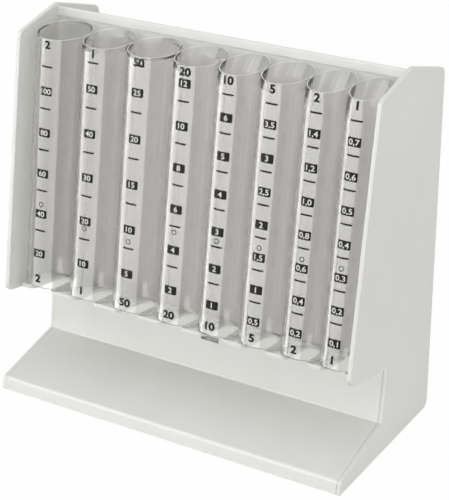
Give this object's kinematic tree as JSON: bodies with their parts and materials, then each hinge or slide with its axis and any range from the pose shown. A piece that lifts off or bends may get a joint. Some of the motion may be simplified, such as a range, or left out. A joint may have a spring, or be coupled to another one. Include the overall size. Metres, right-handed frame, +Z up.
{
  "type": "coin counter",
  "caption": "Manual coin counter: clear graduated tubes lean back in a sheet-metal stand above a sliding notched ledge and a sloping coin tray.",
  "frame": {"origin": "on the table, in the middle of the stand's width and depth", "axes": "+Z up, -Y front (the side with the tray and the scales), +X right as seen from the front"},
  "size_m": [0.208, 0.1016, 0.2021],
  "materials": {
    "powder_coated_steel": "light grey powder coat, fine matt texture",
    "inner_steel": "light grey powder coat, inside the stand",
    "clear_acrylic": "clear, polished",
    "zinc_plated_steel": "zinc plated",
    "black_plastic": "matt black"
  },
  "bodies": {
    "stand": {"left_side_panel": "powder_coated_steel", "right_side_panel": "powder_coated_steel", "chute_sheet": "powder_coated_steel", "tube_panel": "powder_coated_steel", "bed_stiffener": "inner_steel", "rear_brace": "inner_steel", "left_runner": "inner_steel", "right_runner": "inner_steel", "guide_screws": "zinc_plated_steel", "guide_nuts": "zinc_plated_steel", "coin_tube_1": "clear_acrylic", "coin_tube_2": "clear_acrylic", "coin_tube_3": "clear_acrylic", "coin_tube_4": "clear_acrylic", "coin_tube_5": "clear_acrylic", "coin_tube_6": "clear_acrylic", "coin_tube_7": "clear_acrylic", "coin_tube_8": "clear_acrylic"},
    "comb": {"release_comb": "powder_coated_steel", "pull_bar": "powder_coated_steel", "bar_rivets": "zinc_plated_steel", "pull_grip": "black_plastic"}
  },
  "joints": [
    {"name": "comb_slide", "type": "slide", "parent": "stand", "child": "comb", "axis": [0, 0.9882, -0.153], "range_m": [0, 0.025]}
  ]
}
